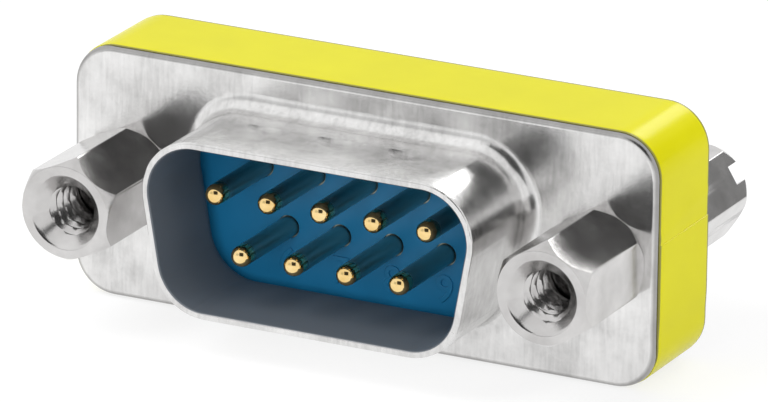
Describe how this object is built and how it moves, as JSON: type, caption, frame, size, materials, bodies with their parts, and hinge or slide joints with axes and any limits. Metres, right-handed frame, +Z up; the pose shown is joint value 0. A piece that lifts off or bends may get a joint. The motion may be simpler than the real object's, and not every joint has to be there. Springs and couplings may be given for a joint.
{
  "type": "d-sub connector",
  "caption": "Low-profile back-to-back d-sub adapter: drawn D shells with round pins on both faces, hex standoffs in front, slotted hex screws behind, yellow wrap-around label.",
  "frame": {"origin": "centre of the body, midway between the two flange faces and between the two fastener axes", "axes": "+X across the flange to the right as seen from the front, -Y out of the front face, +Z up with the long side of the front D on top"},
  "size_m": [0.0311, 0.018, 0.0128],
  "materials": {
    "tin_plate": "bright tin plate on drawn sheet steel",
    "insulator": "blue moulded plastic, satin",
    "contact_gold": "gold flash, polished tips",
    "label_film": "yellow vinyl film, semi-gloss",
    "nickel": "nickel plated turned steel"
  },
  "bodies": {
    "root": {"front_shell": "tin_plate", "rear_shell": "tin_plate", "front_insulator": "insulator", "rear_insulator": "insulator", "label": "label_film", "standoff_left": "nickel", "standoff_right": "nickel", "rear_screw_left": "nickel", "rear_screw_right": "nickel", "contact_1": "contact_gold", "contact_2": "contact_gold", "contact_3": "contact_gold", "contact_4": "contact_gold", "contact_5": "contact_gold", "contact_6": "contact_gold", "contact_7": "contact_gold", "contact_8": "contact_gold", "contact_9": "contact_gold"}
  },
  "joints": []
}
